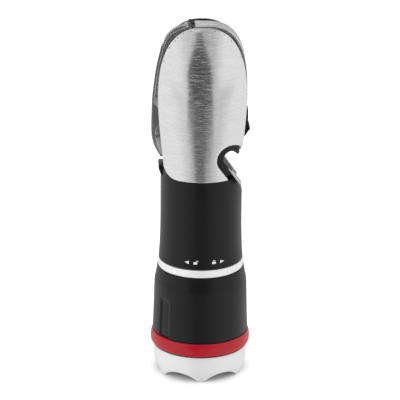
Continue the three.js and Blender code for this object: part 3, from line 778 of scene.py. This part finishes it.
def print_shape(name, loops, lift=0.06):
    """A thin printed shape that follows the tube."""
    radius = TUBE_RADIUS + 0.56
    loops = [dense(loop, 0.35) for loop in loops]
    verts, faces = slab(loops, flat(-lift), flat(0.0), rounding=0.01, steps=1, spacing=0.6)
    bent = [(-(y - radius) * math.sin(x / radius), (y - radius) * math.cos(x / radius), z)
            for x, y, z in verts]
    piece(name, bent, faces, "handle", slot="satin_silver", material=M["print_white"])


def prints():
    """Two turning arrows with a closed and an open padlock between them, instead of words."""
    z = 59.7
    for side in (-1, 1):
        centre = 1.3 + side * 8.2
        head = [(centre + side * 1.4, z), (centre - side * 0.7, z + 0.8), (centre - side * 0.7, z - 0.8)]
        print_shape("print_arrow_left" if side < 0 else "print_arrow_right", [head])
        lock = 1.3 + side * 4.4
        body = [(lock - 0.9, z - 0.8), (lock + 0.9, z - 0.8), (lock + 0.9, z + 0.3), (lock - 0.9, z + 0.3)]
        print_shape("print_lock_left" if side < 0 else "print_lock_right", [rounded(body, 0.25)])
        shift = 0.0 if side > 0 else 0.8
        outer = arc((lock + shift, z + 0.45), 0.65, 0, math.pi, 14)
        inner = arc((lock + shift, z + 0.45), 0.38, math.pi, 0, 14)
        print_shape("print_bow_left" if side < 0 else "print_bow_right", [outer + inner])


def button():
    z = (BUTTON_LOW[2] + BUTTON_HIGH[2]) / 2
    y_in, y_out = BUTTON_LOW[1], BUTTON_HIGH[1]
    radius = BUTTON_HIGH[0]
    profile = [(0, y_in), (radius, y_in), (radius, y_out - 1.1)] + [
        (radius * math.cos(a), y_out - 1.1 + 1.1 * math.sin(a)) for a in np.linspace(0.15, 1.35, 9)]
    profile += [(0.75, y_out - 0.02), (0, y_out)]
    verts, faces = disc_lathe(profile, 96)
    take("button_rubber", ([(x, h, z + y) for x, y, h in verts], faces), "switch_button", "button")
    low, high = BUTTON_RING_LOW, BUTTON_RING_HIGH
    ring = rounded([(4.7, low[1]), (5.6, low[1]), (5.6, high[1]), (4.7, high[1])],
                   [0.1, 0.1, 0.4, 0.25], steps=5)
    verts, faces = lathe(ring, 128)
    take("ring_button", ([(x, h, z + y) for x, y, h in verts], faces), "switch_bezel", "handle")


# ---------- tool end ----------
def covers():
    for side, cad_node, drop in ((-1, "front_cover", 0.0), (1, "back_cover", NOTCH_BACK_DROP)):
        loop = bitten(cover_outline(), notch_outline(COVER_NOTCH_MARGIN, drop))
        if side < 0:
            near = lambda p: -dome_depth(p)
            far = lambda p: -(dome_depth(p) - COVER_THICK)
        else:
            near = lambda p: dome_depth(p) - COVER_THICK
            far = lambda p: dome_depth(p)
        mesh = slab([loop], near, far, rounding=0.4, steps=4, spacing=1.1)
        take(cad_node.replace("cover", "plate"), mesh, cad_node, "handle", sharp=50)


def scales():
    for side, cad_node, drop in ((-1, "front_scale", 0.0), (1, "back_scale", NOTCH_BACK_DROP)):
        loop = bitten(cover_outline(-1.5), notch_outline(0.0, drop))
        skin = lambda p: np.maximum(dome_depth(p) - COVER_THICK - 0.6, SLOT_HALF + 0.6)
        if side < 0:
            mesh = slab([loop], lambda p: -skin(p), flat(-SLOT_HALF), rounding=0.3, steps=3, spacing=2.2)
        else:
            mesh = slab([loop], flat(SLOT_HALF), skin, rounding=0.3, steps=3, spacing=2.2)
        take(cad_node.replace("scale", "handle_scale"), mesh, cad_node, "handle", sharp=45)


def liners():
    for cad_node, drop in (("front_liner", 0.0), ("back_liner", NOTCH_BACK_DROP)):
        low, high = span(cad_node)
        loop = bitten(cover_outline(-0.5), notch_outline(1.1, drop))
        mesh = slab([loop], flat(low[1]), flat(high[1]), rounding=0.12, steps=2)
        take(cad_node.replace("liner", "slot_liner"), mesh, cad_node, "handle")


def strap():
    thickness, outset, power = 1.0, 0.35, 3.0
    edges = []
    for grow in (0.0, -thickness):
        a = COVER_HALF + outset + grow
        b = COVER_TOP + grow - COVER_WIDEST
        edge = []
        for t in np.linspace(math.pi / 2, 0, 90):
            x = a * max(math.cos(t), 0.0) ** (2 / power)
            edge.append((max(x, 0.0), COVER_WIDEST + b * math.sin(t) ** (2 / power)))
        edges.append([(STRAP_LOW[0], edge[0][1])] + edge + [(a - 0.15, STRAP_LOW[2])])
    loop = dense(edges[0] + edges[1][::-1], 0.5)
    mesh = slab([loop], flat(STRAP_LOW[1]), flat(STRAP_HIGH[1]), rounding=0.35, steps=3)
    take("band_strap", mesh, "frame_strap", "handle", sharp=40)


def tip_block():
    low, high = span("tip_rest")
    loop = [(-10, low[2]), (-10, 102.0), (-16.5, 102.6), (-20.05, 102.6), (-20.05, 101.0), (-19.0, low[2])]
    loop = dense(rounded(loop, [0.3, 0.5, 1.0, 1.0, 1.0, 0.3], steps=6), 0.8)
    take("block_tip_rest", slab([loop], flat(low[1]), flat(high[1]), rounding=0.4, steps=3),
         "tip_rest", "handle")


def belt_guide():
    """The steel strip on the slot's lower wall; its top end follows the throat."""
    low, high = span("belt_guide")
    lower = NOTCH_ANGLE - math.pi / 2
    middle, half = NOTCH_RADIUS + 0.35, 0.25
    edges = []
    for radius in (middle - half, middle + half):
        bend = arc(NOTCH, radius, lower - 0.32, lower, 8)
        end = (bend[-1][0] + 13.9 * math.cos(NOTCH_ANGLE), bend[-1][1] + 13.9 * math.sin(NOTCH_ANGLE))
        edges.append(bend + [end])
    loop = dense(edges[0] + edges[1][::-1], 0.6)
    take("strip_guide", slab([loop], flat(low[1]), flat(high[1]), rounding=0.12, steps=2),
         "belt_guide", "handle")


def lock():
    low, high = span("lock_lever")
    loop = [(5.6, 151.6), (6.4, 149.4), (12.6, 138.5), (14.0, 131.0), (16.8, 121.0), (17.2, 117.8),
            (19.1, 115.7),
            (22.3, 120.2), (21.3, 122.6), (21.2, 129.8), (18.9, 130.9), (18.8, 138.6),
            (17.4, 141.6), (14.6, 142.6),
            (8.6, 151.2), (6.6, 152.4)]
    radii = [0.4, 0.4, 2, 2, 2, 1, 0.4, 0.3, 0.8, 0.6, 0.8, 1, 1, 1, 0.5, 0.4]
    loop = dense(rounded(loop, radii, steps=5), 0.8)
    hole = arc((16.0, 139.0), 1.45, 0, 2 * math.pi, 40)[:-1]
    mesh = slab([loop, hole], flat(low[1]), flat(high[1]), rounding=0.3, steps=3)
    take("lever_lock", mesh, "lock_lever", "lock")


# ---------- folding tools ----------
def ground(low, high, edge_line, width, keep=0.12):
    """Depths of a blade that thins towards its cutting edge over `width`."""
    middle, half = (low + high) / 2, (high - low) / 2

    def thin(points):
        near = np.clip(distance_to(points, edge_line, closed=False) / width, 0, 1)
        return half * (keep + (1 - keep) * near)
    return (lambda p: middle - thin(p)), (lambda p: middle + thin(p))


def tool(name, cad_node, body, back_edge, rest, edge_line=None, width=5.0, spacing=1.2):
    low, high = span(cad_node)
    loop = dense(back_edge + rest, 0.6)
    hole = arc(PIVOT, 2.35, 0, 2 * math.pi, 40)[:-1]
    if edge_line:
        front, back = ground(low[1], high[1], edge_line, width)
        mesh = slab([loop, hole], front, back, rounding=0.08, steps=2, spacing=spacing)
    else:
        mesh = slab([loop, hole], flat(low[1]), flat(high[1]), rounding=0.16, steps=2)
    take(name, mesh, cad_node, body, sharp=28)


def tools():
    knife_edge = curve_through([(-17.4, 105.6), (-12.0, 108.5), (-7.0, 115.5), (-4.0, 126), (-3.4, 140)], 8)
    tool("knife", "knife_blade", "knife_tool", tool_back(0.0), knife_edge + [(-3.4, 160), (-5.2, 168.6)],
         edge_line=knife_edge, width=8.0)

    saw_edge = [(-17.6, 106.4), (-12.0, 108.0)]
    for i in range(12):
        x = -10.0 + 4 * min(1, i / 5)
        saw_edge += [(x, 111 + i * 2.6), (x - 1.4, 112.3 + i * 2.6)]
    tool("saw", "saw_blade", "saw_tool", tool_back(0.5), saw_edge + [(-5, 146), (-3.6, 160), (-5.2, 168.6)],
         edge_line=saw_edge[1:], width=5.0)

    file_edge = [(-17.6, 107), (-12.5, 107), (-11.5, 112), (-8.5, 118), (-8.5, 146)]
    tool("file", "file_blade", "file_tool", tool_back(1.0), file_edge + [(-4.0, 158), (-5.2, 168.6)])

    back = [p for p in tool_back(0.8) if p[1] > 132]
    hook = [(-19.6, 129.5), (-17.0, 126.0), (-18.4, 123.6), (-21.2, 120.4), (-21.7, 118.4), (-21.3, 114.6),
            (-20.2, 110.6), (-18.2, 106.8), (-15.0, 106.2), (-10.5, 109.0), (-8.4, 114.0), (-9.6, 119.0),
            (-12.4, 120.6), (-12.6, 125.4), (-9.0, 129.0), (-7.0, 136.0)]
    hook = rounded(hook, 0.9, steps=4, closed=False)
    tool("opener", "bottle_opener", "opener_tool", back + hook, [(-5, 146), (-3.6, 160), (-5.2, 168.6)])


# ---------- room, light and camera ----------
def stage():
    size = 6.0
    mesh = bpy.data.meshes.new("floor")
    mesh.from_pydata([(-size, -size, 0), (size, -size, 0), (size, size, 0), (-size, size, 0)],
                     [], [(0, 1, 2, 3)])
    floor = bpy.data.objects.new("floor", mesh)
    bpy.context.scene.collection.objects.link(floor)
    pale = bpy.data.materials.new("floor_pale")
    pale.use_nodes = True
    shader = pale.node_tree.nodes["Principled BSDF"]
    shader.inputs["Base Color"].default_value = (0.93, 0.93, 0.93, 1)
    shader.inputs["Roughness"].default_value = 0.9
    shader.inputs["Specular IOR Level"].default_value = 0.0
    mesh.materials.append(pale)
    floor.visible_glossy = False


def curve(tree, points):
    made = tree.nodes.new("ShaderNodeFloatCurve")
    line = made.mapping.curves[0]
    line.points[0].location = points[0]
    line.points[1].location = points[-1]
    for x, y in points[1:-1]:
        line.points.new(x, y)
    made.mapping.update()
    return made


def remap(tree, source, from_low, from_high, to_low, to_high, smooth=False):
    made = node(tree, "ShaderNodeMapRange", interpolation_type="SMOOTHSTEP" if smooth else "LINEAR")
    for name, value in zip(("From Min", "From Max", "To Min", "To Max"),
                           (from_low, from_high, to_low, to_high)):
        made.inputs[name].default_value = value
    tree.links.new(source, made.inputs["Value"])
    return made.outputs["Result"]


def blend_values(tree, share, low, high):
    """low where share is 0 and high where it is 1; each can be a number or a socket."""
    made = node(tree, "ShaderNodeMix", data_type="FLOAT")
    for socket, value in zip((made.inputs[0], made.inputs[2], made.inputs[3]), (share, low, high)):
        if isinstance(value, float):
            socket.default_value = value
        else:
            tree.links.new(value, socket)
    return made.outputs[0]


def minus(tree, a, b):
    made = node(tree, "ShaderNodeMath", operation="SUBTRACT")
    tree.links.new(a, made.inputs[0])
    if isinstance(b, float):
        made.inputs[1].default_value = b
    else:
        tree.links.new(b, made.inputs[1])
    return made.outputs[0]


WIDTH_OFFSET = 0.12
OPENING_SHIFT = -0.085


def room_light():
    """A light tent: bright at the sides, with a soft dark opening in front and a lower one behind."""
    world = bpy.data.worlds.new("room")
    bpy.context.scene.world = world
    world.use_nodes = True
    tree = world.node_tree
    background = tree.nodes["Background"]
    where = node(tree, "ShaderNodeTexCoord")
    split = node(tree, "ShaderNodeSeparateXYZ")
    tree.links.new(where.outputs["Generated"], split.inputs["Vector"])
    x, y, z = (split.outputs[k] for k in "XYZ")
    off_middle = node(tree, "ShaderNodeMath", operation="ABSOLUTE")
    tree.links.new(minus(tree, x, OPENING_SHIFT), off_middle.inputs[0])
    off_middle = off_middle.outputs[0]
    height = remap(tree, z, -1, 1, 0, 1)
    widths = []
    for points in (
        [(0, 0.34), (0.40, 0.34), (0.475, 0.54), (0.55, 0.57), (0.70, 0.44), (0.80, 0.29), (0.875, 0.18),
         (0.93, 0.0), (1, 0)],
        [(0, 0.30), (0.40, 0.30), (0.47, 0.30), (0.50, 0.16), (0.53, 0.0), (1, 0)],
    ):
        made = curve(tree, points)
        tree.links.new(height, made.inputs["Value"])
        widths.append(made.outputs["Value"])
    behind = remap(tree, y, -0.02, 0.02, 0, 1)
    width = blend_values(tree, behind, widths[0], widths[1])
    soft = remap(tree, minus(tree, minus(tree, off_middle, width), -WIDTH_OFFSET), -0.07, 0.07, 0, 1,
                 smooth=True)
    dark = blend_values(tree, behind, remap(tree, z, -0.36, -0.04, 0.20, 0.085), 0.35)
    left = remap(tree, off_middle, 0.40, 0.75, 0.66, 0.90, smooth=True)
    right = remap(tree, off_middle, 0.40, 0.85, 0.50, 0.88, smooth=True)
    bright = blend_values(tree, remap(tree, x, -0.1, 0.1, 0, 1), left, right)
    tree.links.new(blend_values(tree, soft, dark, bright), background.inputs["Color"])
    background.inputs["Strength"].default_value = 1.0


def dark_floor():
    """What lies in front, seen only in reflections: bright at the sides, dark in the middle."""
    near, far, side = 0.25, 1.30, 1.2
    mesh = bpy.data.meshes.new("beyond_table")
    mesh.from_pydata([(-side, -far, 0), (side, -far, 0), (side, -near, 0), (-side, -near, 0)],
                     [], [(0, 1, 2, 3)])
    card = bpy.data.objects.new("beyond_table", mesh)
    card.location.z = 0.001
    bpy.context.scene.collection.objects.link(card)
    made = bpy.data.materials.new("beyond_table")
    made.use_nodes = True
    tree = made.node_tree
    tree.nodes.remove(tree.nodes["Principled BSDF"])
    glow = node(tree, "ShaderNodeEmission")
    tree.links.new(glow.outputs[0], tree.nodes["Material Output"].inputs["Surface"])
    where = node(tree, "ShaderNodeTexCoord")
    split = node(tree, "ShaderNodeSeparateXYZ")
    tree.links.new(where.outputs["Object"], split.inputs["Vector"])
    x, y = split.outputs["X"], split.outputs["Y"]
    off_middle = node(tree, "ShaderNodeMath", operation="ABSOLUTE")
    middle = remap(tree, y, 0, -far, 0, far * OPENING_SHIFT * 1.1)
    tree.links.new(minus(tree, x, middle), off_middle.inputs[0])
    off_middle = off_middle.outputs[0]
    share = remap(tree, y, -near, -far, 0, 1)
    wedge = curve(tree, [(0, 0.055), (0.032, 0.073), (0.058, 0.094), (0.074, 0.136),
                         (0.09, 0.186), (0.143, 0.22),
                         (0.333, 0.30), (1, 0.62)])
    tree.links.new(share, wedge.inputs["Value"])
    soft = remap(tree, minus(tree, off_middle, wedge.outputs["Value"]), -0.02, 0.02, 0, 1, smooth=True)
    dark = remap(tree, y, -near, -0.36, 0.20, 0.10)
    bright = blend_values(tree, remap(tree, x, -0.1, 0.1, 0, 1), 0.74, 0.62)
    tree.links.new(blend_values(tree, soft, dark, bright), glow.inputs["Color"])
    mesh.materials.append(made)
    card.visible_camera = False
    card.visible_diffuse = False
    card.visible_shadow = False
    card.visible_transmission = False


def soft_lights():
    """Large lamps for the floor and the matt parts; they show in no reflection."""
    for name, spot, size, power in (("top", (0.1, 0.2, 1.7), 2.2, 30.0),
                                    ("front", (-0.8, -1.5, 1.1), 1.6, 9.0)):
        lamp = bpy.data.lights.new(name, "AREA")
        lamp.energy = power
        lamp.shape = "DISK"
        lamp.size = size
        obj = bpy.data.objects.new(name, lamp)
        bpy.context.scene.collection.objects.link(obj)
        obj.location = spot
        aim = Vector((0, 0, 0.08)) - obj.location
        obj.rotation_euler = aim.to_track_quat("-Z", "Y").to_euler()
        obj.visible_glossy = False


def camera():
    lens = bpy.data.cameras.new("camera")
    obj = bpy.data.objects.new("camera", lens)
    bpy.context.scene.collection.objects.link(obj)
    distance, turn, elevation = 1.30, math.radians(-2.0), math.radians(20.0)
    aim = Vector((-0.0005, 0, 0.0837))
    away = Vector((math.cos(elevation) * math.sin(turn), -math.cos(elevation) * math.cos(turn),
                   math.sin(elevation)))
    obj.location = aim + away * distance
    aimed = (-away).to_track_quat("-Z", "Y")
    roll = Quaternion((0, 0, 1), math.radians(0.5))
    obj.rotation_euler = (aimed @ roll).to_euler()
    lens.sensor_width = 36
    lens.lens = 250.4
    lens.clip_end = 50
    bpy.context.scene.camera = obj


crown()
red_ring()
shadow_gap()
shell()
collar()
lamp_inside()
tube()
prints()
button()
covers()
scales()
liners()
strap()
tip_block()
belt_guide()
lock()
tools()
replaced = {"crown_bezel", "warning_ring", "head_shell", "collar_ring", "front_lens", "reflector",
            "battery_tube",
            "switch_button", "switch_bezel", "front_cover", "back_cover", "front_scale", "back_scale",
            "front_liner", "back_liner", "frame_strap", "tip_rest", "lock_lever", "knife_blade", "saw_blade",
            "file_blade", "bottle_opener", "belt_guide"}
for cad_name in frame["nodes"]:
    if cad_name not in replaced:
        dress(cad_name)
matt_black = finish("matt_black", (0.008, 0.008, 0.008), 0.6, specular=0.15)
for part in frame["nodes"]["stop_bar"].material_slots:
    part.material = matt_black
stage()
room_light()
dark_floor()
soft_lights()
camera()
bpy.context.scene.view_settings.view_transform = "Standard"
